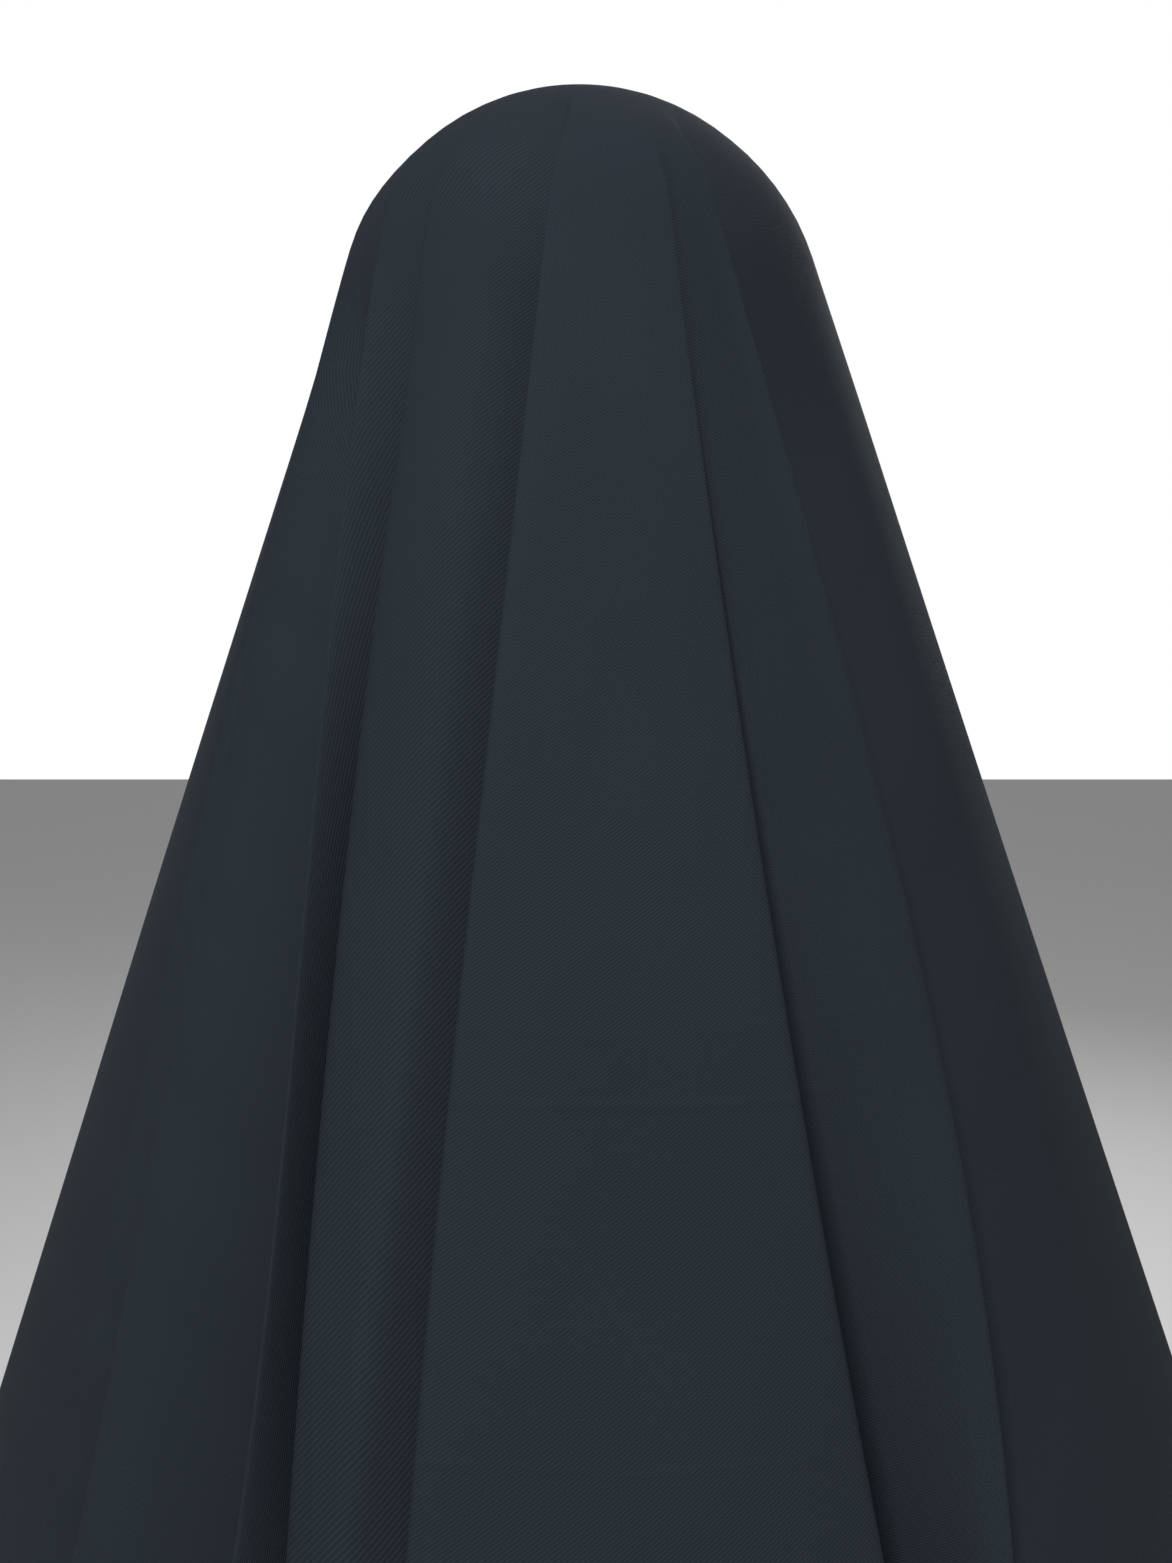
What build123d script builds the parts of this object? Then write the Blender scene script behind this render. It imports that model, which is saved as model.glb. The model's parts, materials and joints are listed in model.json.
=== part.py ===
"""Barber cape thrown over a canvas block head on a telescoping salon display stand.

Millimetres, +Z up, origin on the floor at the centre of the stand's base. -Y is the front.
"""

from math import atan2, cos, degrees, radians, sin, tan

from build123d import *
import os

os.makedirs("parts", exist_ok=True)

# ---- Driving dimensions: stand ----
FOOT_HEIGHT = 6
FOOT_RADIUS = 11
FOOT_CIRCLE = 125
FOOT_COUNT = 4
FOOT_STEM_RADIUS = FOOT_RADIUS - 3
FOOT_STEM = 2.5
FOOT_SOCKET = 3
BASE_RADIUS = 150
BASE_THICKNESS = 8
BOLT_RADIUS = 4.2
BOLT_HOLE_RADIUS = 5
BOLT_HEAD_RADIUS = 7
BOLT_HEAD = 6
BOLT_LENGTH = 30
WASHER_RADIUS = 10.5
WASHER = 1.6
WASHER_SEAT_RADIUS = 12
WASHER_SEAT = 5
PLUG_LENGTH = 28
TRIM_RADIUS = 38
TRIM_EDGE = 3
TRIM_HEIGHT = 24
LOWER_TUBE_OUTER = 14
LOWER_TUBE_INNER = 12.5
LOWER_TUBE_TOP = 550
UPPER_TUBE_OUTER = 11
UPPER_TUBE_INNER = 9.5
UPPER_TUBE_BOTTOM = 300
UPPER_TUBE_TOP = 785
GUIDE_LENGTH = 26
END_CAP = 8
END_CAP_STEM = 16
SLIDING_GAP = 0.05
COLLAR_RADIUS = 20
COLLAR_BOTTOM = 520
COLLAR_TOP = 576
CLAMP_HEIGHT = 563
COLLAR_GAP = 0.3
BOSS_RADIUS = 9
BOSS_REACH = 28
CLAMP_SCREW_RADIUS = 4
PAD_RADIUS = 3.4
PAD_THICKNESS = 2.5
KNOB_REACH = 44
KNOB_RADIUS = 17
KNOB_DEPTH = 16
KNOB_SCALLOPS = 6
KNOB_SCALLOP_RADIUS = 6.5
KNOB_HUB_RADIUS = 8
KNOB_HUB = 8
KNOB_SOCKET = 18

# ---- Driving dimensions: block head ----
HEAD_TOP = 1000
HEAD_RADIUS = 79
CANVAS = 1
HEAD_BASE = 800
HEAD_BASE_RADIUS = 60
HEAD_FLANGE_RADIUS = 40
HEAD_FLANGE = 4
BUSH_RADIUS = 9
BUSH_LENGTH = 60
SPIGOT_RADIUS = 6
SPIGOT_TOP = 855
SPIGOT_STEM = 30
SHOULDER_RADIUS = 12
SHOULDER_GAP = 0.2
SCREW_CIRCLE = 30
SCREW_RADIUS = 2
SCREW_COUNT = 3
SCREW_LENGTH = 20
SCREW_HEAD = 2.4
PILOT_DEPTH = 18

# ---- Driving dimensions: cape ----
SHEET_HALF_WIDTH = 635
SHEET_HALF_LENGTH = 760
CORNER_ARC = 930
CAPE_GAP = 2
CAPE_WALL = 2
FLARE = 18.5
VALLEY_RADIUS = 86
VALLEY_SPREAD = 6
CREST_FLATTENING = 0.98
NOTCH_HALF_WIDTH = 55
NOTCH_DEPTH = 95
BAND_WIDTH = 34
BAND_THICKNESS = 2.4
BAND_STANDOFF = 4
TAB_LENGTH = 75
SNAP_RADIUS = 6
SNAP_SPACING = 22
SNAP_COUNT = 3
SNAP_CAP = 1.2
SNAP_SOCKET = 1.8
LOOP_RADIUS = 15
LOOP_CORD = 1.4
LOOP_WIDTH = 6
LABEL_WIDTH = 28
LABEL_HEIGHT = 16
LABEL_THICKNESS = 0.5
SEAM_ALLOWANCE = 12

# Folds round the cape: azimuth of the crest from the front, positive towards +X, and its half width.
FOLDS = [
    (-75, 12),
    (-38, 6),
    (-21, 5),
    (6, 15),
    (33, 5),
    (70, 12),
    (108, 6),
    (132, 5),
    (179, 18),
    (220, 5),
    (242, 5),
]

# ---- Derived sizes ----
BASE_TOP = FOOT_HEIGHT + BASE_THICKNESS
WASHER_BOTTOM = FOOT_HEIGHT + WASHER_SEAT - WASHER
HEAD_CENTRE = HEAD_TOP - HEAD_RADIUS
CAPE_INNER = HEAD_RADIUS + CAPE_GAP
CAPE_OUTER = CAPE_INNER + CAPE_WALL
CAPE_TOP = HEAD_CENTRE + CAPE_OUTER
LEAVE_RADIUS = CAPE_OUTER * cos(radians(FLARE))
LEAVE_HEIGHT = HEAD_CENTRE + CAPE_OUTER * sin(radians(FLARE))
LEAVE_ARC = CAPE_OUTER * radians(90 - FLARE)


def crest_height(arc):
    """Height of a crest at this length of cloth from the pole."""
    return LEAVE_HEIGHT - (arc - LEAVE_ARC) * cos(radians(FLARE))


def crest_radius(height):
    """Distance of a crest from the axis at this height."""
    if height >= LEAVE_HEIGHT:
        return (CAPE_OUTER**2 - (height - HEAD_CENTRE) ** 2) ** 0.5
    return LEAVE_RADIUS + (LEAVE_HEIGHT - height) * tan(radians(FLARE))


def fold_section(height, inset):
    """Closed outline of the folded cloth at one height, drawn in by inset."""
    crest = crest_radius(height)
    drop = (LEAVE_HEIGHT - height) / LEAVE_HEIGHT
    valley = min(crest, VALLEY_RADIUS + VALLEY_SPREAD * max(drop, 0))
    outline = []
    for index, (azimuth, half_width) in enumerate(FOLDS):
        after = FOLDS[(index + 1) % len(FOLDS)]
        next_edge = (after[0] - after[1] - azimuth - half_width) % 360
        gap_middle = azimuth + half_width + next_edge / 2
        outline.append((azimuth - half_width, crest * CREST_FLATTENING - inset))
        outline.append((azimuth, crest - inset))
        outline.append((azimuth + half_width, crest * CREST_FLATTENING - inset))
        outline.append((gap_middle, valley - inset))
    return [(r * sin(radians(a)), -r * cos(radians(a))) for a, r in outline]


SECTION_HEIGHTS = [LEAVE_HEIGHT, 900, 850, 760, 600, 380, 120]
HEM_FRONT = crest_height(SHEET_HALF_LENGTH)
HEM_SIDE = crest_height(SHEET_HALF_WIDTH)
HEM_CORNER = crest_height(CORNER_ARC)
CORNER_AZIMUTH = degrees(atan2(SHEET_HALF_WIDTH, SHEET_HALF_LENGTH))
CORNER_X = crest_radius(HEM_CORNER) * sin(radians(CORNER_AZIMUTH))
CORNER_Y = crest_radius(HEM_CORNER) * cos(radians(CORNER_AZIMUTH))

# ================= Stand =================

with BuildPart() as base_plate:
    with BuildSketch(Plane.XY.offset(FOOT_HEIGHT)):
        Circle(BASE_RADIUS)
    extrude(amount=BASE_THICKNESS)
    chamfer(base_plate.faces().sort_by(Axis.Z)[-1].edges(), 2)
    with Locations((0, 0, BASE_TOP)):
        Hole(BOLT_HOLE_RADIUS)
    with Locations(Plane(origin=(0, 0, FOOT_HEIGHT), z_dir=(0, 0, -1))):
        CounterBoreHole(BOLT_HOLE_RADIUS, WASHER_SEAT_RADIUS, WASHER_SEAT)
    with Locations(Plane(origin=(0, 0, FOOT_HEIGHT), z_dir=(0, 0, -1))):
        with PolarLocations(FOOT_CIRCLE, FOOT_COUNT, 45):
            Hole(FOOT_STEM_RADIUS, depth=FOOT_SOCKET)
base_plate.part.label = "base_plate"
export_step(base_plate.part, "parts/base_plate.step")

with BuildPart() as base_feet:
    with BuildSketch():
        with PolarLocations(FOOT_CIRCLE, FOOT_COUNT, 45):
            Circle(FOOT_RADIUS)
    extrude(amount=FOOT_HEIGHT)
    with BuildSketch(Plane.XY.offset(FOOT_HEIGHT)):
        with PolarLocations(FOOT_CIRCLE, FOOT_COUNT, 45):
            Circle(FOOT_STEM_RADIUS)
    extrude(amount=FOOT_STEM)
    chamfer(base_feet.edges().group_by(Axis.Z)[0], 1.5)
base_feet.part.label = "base_feet"
export_step(base_feet.part, "parts/base_feet.step")

with BuildPart() as tube_plug:
    with BuildSketch(Plane.XY.offset(BASE_TOP)):
        Circle(LOWER_TUBE_INNER)
        Circle(BOLT_RADIUS, mode=Mode.SUBTRACT)
    extrude(amount=PLUG_LENGTH)
tube_plug.part.label = "tube_plug"
export_step(tube_plug.part, "parts/tube_plug.step")

with BuildPart() as base_washer:
    with BuildSketch(Plane.XY.offset(WASHER_BOTTOM)):
        Circle(WASHER_RADIUS)
        Circle(BOLT_RADIUS + 0.1, mode=Mode.SUBTRACT)
    extrude(amount=WASHER)
base_washer.part.label = "base_washer"
export_step(base_washer.part, "parts/base_washer.step")

with BuildPart() as base_bolt:
    with BuildSketch(Plane.XY.offset(WASHER_BOTTOM - BOLT_HEAD)):
        RegularPolygon(BOLT_HEAD_RADIUS, 6)
    extrude(amount=BOLT_HEAD)
    chamfer(base_bolt.faces().sort_by(Axis.Z)[0].edges(), 0.8)
    with BuildSketch(Plane.XY.offset(WASHER_BOTTOM)):
        Circle(BOLT_RADIUS)
    extrude(amount=BOLT_LENGTH)
base_bolt.part.label = "base_bolt"
export_step(base_bolt.part, "parts/base_bolt.step")

with BuildPart() as base_collar:
    with BuildSketch(Plane.XZ):
        with BuildLine():
            Polyline(
                (LOWER_TUBE_OUTER, BASE_TOP),
                (TRIM_RADIUS, BASE_TOP),
                (TRIM_RADIUS, BASE_TOP + TRIM_EDGE),
                (LOWER_TUBE_OUTER + 2 * TRIM_EDGE, BASE_TOP + 3 * TRIM_EDGE),
                (LOWER_TUBE_OUTER + TRIM_EDGE, BASE_TOP + TRIM_HEIGHT),
                (LOWER_TUBE_OUTER, BASE_TOP + TRIM_HEIGHT),
                close=True,
            )
        make_face()
    revolve(axis=Axis.Z)
base_collar.part.label = "base_collar"
export_step(base_collar.part, "parts/base_collar.step")

with BuildPart() as lower_tube:
    with BuildSketch(Plane.XY.offset(BASE_TOP)):
        Circle(LOWER_TUBE_OUTER)
        Circle(LOWER_TUBE_INNER, mode=Mode.SUBTRACT)
    extrude(amount=LOWER_TUBE_TOP - BASE_TOP)
lower_tube.part.label = "lower_tube"
export_step(lower_tube.part, "parts/lower_tube.step")

with BuildPart() as guide_bush:
    with BuildSketch(Plane.XY.offset(LOWER_TUBE_TOP - GUIDE_LENGTH)):
        Circle(LOWER_TUBE_INNER)
        Circle(UPPER_TUBE_OUTER + SLIDING_GAP, mode=Mode.SUBTRACT)
    extrude(amount=GUIDE_LENGTH)
guide_bush.part.label = "guide_bush"
export_step(guide_bush.part, "parts/guide_bush.step")

with BuildPart() as clamp_collar:
    with BuildSketch(Plane.XY.offset(COLLAR_BOTTOM)):
        Circle(COLLAR_RADIUS)
    extrude(amount=COLLAR_TOP - COLLAR_BOTTOM)
    fillet(clamp_collar.edges().filter_by(GeomType.CIRCLE), 1.5)
    with BuildSketch(Plane.XZ.offset(-BOSS_RADIUS + 1)):
        with Locations((0, CLAMP_HEIGHT)):
            Circle(BOSS_RADIUS)
    extrude(amount=-(BOSS_REACH - BOSS_RADIUS + 1))
    with BuildSketch(Plane.XY.offset(COLLAR_BOTTOM)):
        Circle(LOWER_TUBE_OUTER)
    extrude(amount=LOWER_TUBE_TOP - COLLAR_BOTTOM, mode=Mode.SUBTRACT)
    with BuildSketch(Plane.XY.offset(LOWER_TUBE_TOP)):
        Circle(UPPER_TUBE_OUTER + COLLAR_GAP)
    extrude(amount=COLLAR_TOP - LOWER_TUBE_TOP, mode=Mode.SUBTRACT)
    with BuildSketch(Plane.XZ):
        with Locations((0, CLAMP_HEIGHT)):
            Circle(CLAMP_SCREW_RADIUS + SLIDING_GAP)
    extrude(amount=-BOSS_REACH - 2, mode=Mode.SUBTRACT)
clamp_collar.part.label = "clamp_collar"
export_step(clamp_collar.part, "parts/clamp_collar.step")

PAD_START = UPPER_TUBE_OUTER + COLLAR_GAP
PAD_END = PAD_START + PAD_THICKNESS
with BuildPart() as clamp_pad:
    with BuildSketch(Plane.XZ.offset(-PAD_START)):
        with Locations((0, CLAMP_HEIGHT)):
            Circle(PAD_RADIUS)
    extrude(amount=-PAD_THICKNESS)
clamp_pad.part.label = "clamp_pad"
export_step(clamp_pad.part, "parts/clamp_pad.step")

with BuildPart() as clamp_screw:
    with BuildSketch(Plane.XZ.offset(-PAD_END)):
        with Locations((0, CLAMP_HEIGHT)):
            Circle(CLAMP_SCREW_RADIUS)
    extrude(amount=-(KNOB_REACH - KNOB_HUB + KNOB_SOCKET - PAD_END))
    chamfer(clamp_screw.edges().group_by(Axis.Y)[0], 0.5)
clamp_screw.part.label = "clamp_screw"
export_step(clamp_screw.part, "parts/clamp_screw.step")

with BuildPart() as clamp_knob:
    with BuildSketch(Plane.XZ.offset(-KNOB_REACH)):
        with Locations((0, CLAMP_HEIGHT)):
            Circle(KNOB_RADIUS)
            with PolarLocations(KNOB_RADIUS + 4, KNOB_SCALLOPS):
                Circle(KNOB_SCALLOP_RADIUS, mode=Mode.SUBTRACT)
    extrude(amount=-KNOB_DEPTH)
    with BuildSketch(Plane.XZ.offset(-KNOB_REACH + KNOB_HUB)):
        with Locations((0, CLAMP_HEIGHT)):
            Circle(KNOB_HUB_RADIUS)
    extrude(amount=-KNOB_HUB)
    fillet(clamp_knob.edges().group_by(Axis.Y)[-1], 1.5)
    with BuildSketch(Plane.XZ.offset(-KNOB_REACH + KNOB_HUB)):
        with Locations((0, CLAMP_HEIGHT)):
            Circle(CLAMP_SCREW_RADIUS)
    extrude(amount=-KNOB_SOCKET, mode=Mode.SUBTRACT)
clamp_knob.part.label = "clamp_knob"
export_step(clamp_knob.part, "parts/clamp_knob.step")

# ================= Mast =================

with BuildPart() as upper_tube:
    with BuildSketch(Plane.XY.offset(UPPER_TUBE_BOTTOM)):
        Circle(UPPER_TUBE_OUTER)
        Circle(UPPER_TUBE_INNER, mode=Mode.SUBTRACT)
    extrude(amount=UPPER_TUBE_TOP - UPPER_TUBE_BOTTOM)
upper_tube.part.label = "upper_tube"
export_step(upper_tube.part, "parts/upper_tube.step")

with BuildPart() as mast_end_cap:
    with BuildSketch(Plane.XY.offset(UPPER_TUBE_BOTTOM - END_CAP)):
        Circle(LOWER_TUBE_INNER - 0.1)
    extrude(amount=END_CAP)
    with BuildSketch(Plane.XY.offset(UPPER_TUBE_BOTTOM)):
        Circle(UPPER_TUBE_INNER)
    extrude(amount=END_CAP_STEM)
mast_end_cap.part.label = "mast_end_cap"
export_step(mast_end_cap.part, "parts/mast_end_cap.step")

SHOULDER_TOP = HEAD_BASE - HEAD_FLANGE - SHOULDER_GAP
with BuildPart() as swivel_spigot:
    with BuildSketch(Plane.XY.offset(UPPER_TUBE_TOP - SPIGOT_STEM)):
        Circle(UPPER_TUBE_INNER)
    extrude(amount=SPIGOT_STEM)
    with BuildSketch(Plane.XY.offset(UPPER_TUBE_TOP)):
        Circle(SHOULDER_RADIUS)
    extrude(amount=SHOULDER_TOP - UPPER_TUBE_TOP)
    with BuildSketch(Plane.XY.offset(SHOULDER_TOP)):
        Circle(SPIGOT_RADIUS)
    extrude(amount=SPIGOT_TOP - SHOULDER_TOP)
    chamfer(swivel_spigot.faces().sort_by(Axis.Z)[-1].edges(), 1)
swivel_spigot.part.label = "swivel_spigot"
export_step(swivel_spigot.part, "parts/swivel_spigot.step")

# ================= Block head =================


def head_profile(radius, base):
    """Half outline of the block head: a quarter circle above, a gentle taper below."""
    waist = (radius * 0.93, HEAD_CENTRE - 70)
    with BuildSketch(Plane.XZ) as half:
        with BuildLine():
            CenterArc((0, HEAD_CENTRE), radius, 0, 90)
            side = Spline((radius, HEAD_CENTRE), waist, (base, HEAD_BASE), tangents=[(0, -1), (-0.35, -1)])
            Polyline(side @ 1, (0, HEAD_BASE), (0, HEAD_CENTRE + radius))
        make_face()
    return half.sketch


with BuildPart() as head_block:
    add(head_profile(HEAD_RADIUS - CANVAS, HEAD_BASE_RADIUS - CANVAS))
    revolve(axis=Axis.Z)
    with BuildSketch(Plane.XY.offset(HEAD_BASE)):
        Circle(BUSH_RADIUS)
    extrude(amount=BUSH_LENGTH, mode=Mode.SUBTRACT)
    with BuildSketch(Plane.XY.offset(HEAD_BASE)):
        with PolarLocations(SCREW_CIRCLE, SCREW_COUNT):
            Circle(SCREW_RADIUS)
    extrude(amount=PILOT_DEPTH, mode=Mode.SUBTRACT)
head_block.part.label = "head_block"
export_step(head_block.part, "parts/head_block.step")

with BuildPart() as head_cover:
    add(head_profile(HEAD_RADIUS, HEAD_BASE_RADIUS))
    revolve(axis=Axis.Z)
    add(head_profile(HEAD_RADIUS - CANVAS, HEAD_BASE_RADIUS - CANVAS))
    revolve(axis=Axis.Z, mode=Mode.SUBTRACT)
head_cover.part.label = "head_cover"
export_step(head_cover.part, "parts/head_cover.step")

with BuildPart() as head_flange:
    with BuildSketch(Plane.XY.offset(HEAD_BASE - HEAD_FLANGE)):
        Circle(HEAD_FLANGE_RADIUS)
        Circle(BUSH_RADIUS, mode=Mode.SUBTRACT)
        with PolarLocations(SCREW_CIRCLE, SCREW_COUNT):
            Circle(SCREW_RADIUS, mode=Mode.SUBTRACT)
    extrude(amount=HEAD_FLANGE)
    chamfer(head_flange.edges().group_by(Axis.Z)[0].sort_by(SortBy.LENGTH)[-1], 1)
head_flange.part.label = "head_flange"
export_step(head_flange.part, "parts/head_flange.step")

with BuildPart() as head_bush:
    with BuildSketch(Plane.XY.offset(HEAD_BASE - HEAD_FLANGE)):
        Circle(BUSH_RADIUS)
        Circle(SPIGOT_RADIUS + SLIDING_GAP, mode=Mode.SUBTRACT)
    extrude(amount=BUSH_LENGTH + HEAD_FLANGE)
head_bush.part.label = "head_bush"
export_step(head_bush.part, "parts/head_bush.step")

with BuildPart() as flange_screws:
    with BuildSketch(Plane.XY.offset(HEAD_BASE - HEAD_FLANGE - SCREW_HEAD)):
        with PolarLocations(SCREW_CIRCLE, SCREW_COUNT):
            Circle(2 * SCREW_RADIUS)
    extrude(amount=SCREW_HEAD)
    with BuildSketch(Plane.XY.offset(HEAD_BASE - HEAD_FLANGE)):
        with PolarLocations(SCREW_CIRCLE, SCREW_COUNT):
            Circle(SCREW_RADIUS)
    extrude(amount=SCREW_LENGTH)
flange_screws.part.label = "flange_screws"
export_step(flange_screws.part, "parts/flange_screws.step")

# ================= Cape =================


def cape_solid(inset):
    """The draped cloth as a filled solid: a domed top and a folded skirt, drawn in by inset."""
    with BuildPart() as filled:
        for height in SECTION_HEIGHTS:
            with BuildSketch(Plane.XY.offset(height)):
                with BuildLine():
                    Polyline(fold_section(height, inset), close=True)
                make_face()
        loft(ruled=True)
    return filled.part


def dome_solid(radius):
    """Ball cap above the height at which the cloth leaves the head."""
    with BuildPart() as cap:
        with Locations((0, 0, HEAD_CENTRE)):
            Sphere(radius)
        split(bisect_by=Plane.XY.offset(LEAVE_HEIGHT - 0.5), keep=Keep.TOP)
    return cap.part


def hem_curtain(middle, corner, reach, plane):
    """Everything below the hem line, seen square on to one pair of edges."""
    with BuildPart() as below:
        with BuildSketch(plane):
            with BuildLine():
                hem = Spline((-reach, corner), (-reach / 2, (3 * middle + corner) / 4), (0, middle),
                             (reach / 2, (3 * middle + corner) / 4), (reach, corner))
                Polyline(hem @ 1, (reach + 150, corner), (reach + 150, 0), (-reach - 150, 0),
                         (-reach - 150, corner), hem @ 0)
            make_face()
        extrude(amount=400, both=True)
    return below.part


BACK_RADIUS = crest_radius(HEM_FRONT)
BACK_PLANE = Plane(
    origin=(0, BACK_RADIUS, HEM_FRONT),
    x_dir=(-1, 0, 0),
    z_dir=(0, cos(radians(FLARE)), sin(radians(FLARE))),
)

with BuildPart() as cape_panel:
    add(cape_solid(0))
    add(dome_solid(CAPE_OUTER))
    add(cape_solid(CAPE_WALL), mode=Mode.SUBTRACT)
    add(dome_solid(CAPE_INNER), mode=Mode.SUBTRACT)
    add(hem_curtain(HEM_FRONT, HEM_CORNER, CORNER_X, Plane.XZ), mode=Mode.SUBTRACT)
    add(hem_curtain(HEM_SIDE, HEM_CORNER, CORNER_Y, Plane.YZ), mode=Mode.SUBTRACT)
    with BuildSketch(BACK_PLANE.offset(-50)):
        Rectangle(2 * NOTCH_HALF_WIDTH, 2 * (NOTCH_DEPTH - NOTCH_HALF_WIDTH))
        with Locations((0, NOTCH_DEPTH - NOTCH_HALF_WIDTH)):
            Circle(NOTCH_HALF_WIDTH)
    extrude(amount=100, mode=Mode.SUBTRACT)
cape_panel.part.label = "cape_panel"
export_step(cape_panel.part, "parts/cape_panel.step")

ARC_CENTRE = NOTCH_DEPTH - NOTCH_HALF_WIDTH
BAND_OUTER = NOTCH_HALF_WIDTH + BAND_WIDTH
with BuildPart() as neckband:
    with BuildSketch(BACK_PLANE.offset(BAND_STANDOFF)):
        with Locations((0, ARC_CENTRE)):
            Circle(BAND_OUTER)
        with Locations((0, (ARC_CENTRE - TAB_LENGTH) / 2)):
            Rectangle(2 * BAND_OUTER, ARC_CENTRE + TAB_LENGTH)
        with Locations((0, ARC_CENTRE)):
            Circle(NOTCH_HALF_WIDTH, mode=Mode.SUBTRACT)
        with Locations((0, (ARC_CENTRE - TAB_LENGTH) / 2)):
            Rectangle(2 * NOTCH_HALF_WIDTH, ARC_CENTRE + TAB_LENGTH, mode=Mode.SUBTRACT)
        with Locations((0, ARC_CENTRE - TAB_LENGTH - BAND_OUTER)):
            Rectangle(4 * BAND_OUTER, 2 * (BAND_OUTER - ARC_CENTRE), mode=Mode.SUBTRACT)
    extrude(amount=BAND_THICKNESS)
neckband.part.label = "neckband"
export_step(neckband.part, "parts/neckband.step")


def snap_row(side, base, radius, height, label):
    """One row of snap halves down a tab: side is -1 or 1, base the distance off the cloth."""
    with BuildPart() as row:
        with BuildSketch(BACK_PLANE.offset(base)):
            with Locations((side * (NOTCH_HALF_WIDTH + BAND_WIDTH / 2), SNAP_SPACING - TAB_LENGTH / 2)):
                with GridLocations(1, SNAP_SPACING, 1, SNAP_COUNT):
                    Circle(radius)
        extrude(amount=height)
        chamfer(row.edges(), min(0.3, height / 4))
    row.part.label = label
    export_step(row.part, f"parts/{label}.step")


BAND_FACE = BAND_STANDOFF + BAND_THICKNESS
snap_row(1, BAND_FACE, SNAP_RADIUS, SNAP_CAP, "snap_caps")
snap_row(1, BAND_STANDOFF - SNAP_SOCKET, SNAP_RADIUS - 0.5, SNAP_SOCKET, "snap_sockets")
snap_row(-1, BAND_FACE, SNAP_RADIUS - 0.5, SNAP_SOCKET, "snap_studs")
snap_row(-1, BAND_STANDOFF - SNAP_CAP, SNAP_RADIUS, SNAP_CAP, "snap_posts")

with BuildPart() as hang_loop:
    with BuildSketch(BACK_PLANE.offset(BAND_FACE)):
        with Locations((0, ARC_CENTRE + BAND_OUTER - SEAM_ALLOWANCE)):
            Circle(LOOP_RADIUS)
            Circle(LOOP_RADIUS - LOOP_CORD, mode=Mode.SUBTRACT)
            with Locations((0, -LOOP_RADIUS)):
                Rectangle(3 * LOOP_RADIUS, 2 * LOOP_RADIUS, mode=Mode.SUBTRACT)
    extrude(amount=LOOP_WIDTH)
hang_loop.part.label = "hang_loop"
export_step(hang_loop.part, "parts/hang_loop.step")

with BuildPart() as care_label:
    with BuildSketch(BACK_PLANE.offset(BAND_FACE)):
        with Locations((0, ARC_CENTRE + NOTCH_HALF_WIDTH + SEAM_ALLOWANCE)):
            Rectangle(LABEL_WIDTH, LABEL_HEIGHT)
    extrude(amount=LABEL_THICKNESS)
care_label.part.label = "care_label"
export_step(care_label.part, "parts/care_label.step")
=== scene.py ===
"""Looks of the barber cape on its display stand: the draped cloth, its trims, materials, lights and camera.

Metres, +Z up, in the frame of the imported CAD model. -Y is the front of the drape.
Azimuths are measured from the front, positive towards +X.
A point of the cloth is named by its place on the flat sheet: its distance from the pole of the drape
(arc) and its direction on the sheet (heading), the same way round as azimuth.
"""

import json
import math

import bpy
import numpy as np
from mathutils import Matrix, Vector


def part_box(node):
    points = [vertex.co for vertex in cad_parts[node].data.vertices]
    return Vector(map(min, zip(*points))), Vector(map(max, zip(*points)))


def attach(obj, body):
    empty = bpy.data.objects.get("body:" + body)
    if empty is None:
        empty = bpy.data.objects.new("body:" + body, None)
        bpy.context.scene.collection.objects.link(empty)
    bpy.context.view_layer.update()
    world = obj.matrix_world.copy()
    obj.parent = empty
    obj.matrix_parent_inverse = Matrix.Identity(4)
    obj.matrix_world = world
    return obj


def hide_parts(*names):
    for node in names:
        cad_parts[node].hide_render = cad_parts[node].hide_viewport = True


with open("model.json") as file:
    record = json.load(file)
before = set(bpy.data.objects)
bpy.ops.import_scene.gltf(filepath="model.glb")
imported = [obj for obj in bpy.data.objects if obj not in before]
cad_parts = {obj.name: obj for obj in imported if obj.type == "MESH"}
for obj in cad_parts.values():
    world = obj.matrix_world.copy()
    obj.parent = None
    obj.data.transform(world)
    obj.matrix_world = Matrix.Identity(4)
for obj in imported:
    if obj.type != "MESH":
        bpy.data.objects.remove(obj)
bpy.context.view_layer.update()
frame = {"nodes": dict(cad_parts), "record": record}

# ---- Sizes taken from the frame ----
head_low, head_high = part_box("head_cover")
HEAD_RADIUS = (head_high[0] - head_low[0]) / 2
HEAD_TOP = head_high[2]
HEAD_CENTRE = HEAD_TOP - HEAD_RADIUS
HEAD_BASE = head_low[2]
band_low, band_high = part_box("neckband")
loop_low, loop_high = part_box("hang_loop")
label_low, label_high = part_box("care_label")
LOOP_MIDDLE = (np.array(loop_low) + np.array(loop_high)) / 2
LABEL_MIDDLE = (np.array(label_low) + np.array(label_high)) / 2

# ---- Driving sizes of the cloth ----
SHEET_HALF_WIDTH = 0.635
SHEET_HALF_LENGTH = 0.760
CORNER_RADIUS = 0.060
CLOTH_THICKNESS = 0.0006
HEM_WIDTH = 0.012
HEM_THICKNESS = 0.0016
CLOTH_RADIUS = HEAD_RADIUS + 0.0008
FLARE = math.radians(18.5)
LEAVE_ARC = CLOTH_RADIUS * (math.pi / 2 - FLARE)
FOLD_LIFT = 0.0045
LIFT_START_ARC = 0.045
VALLEY_SPREAD = 0.012
FOLD_ROUNDING = 0.0018
ROUNDING_GROWTH = 0.0013
LEAST_DROP = 0.05
NOTCH_HALF_WIDTH = 0.055
NOTCH_DEPTH = 0.095
ARC_CENTRE = NOTCH_DEPTH - NOTCH_HALF_WIDTH

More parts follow.
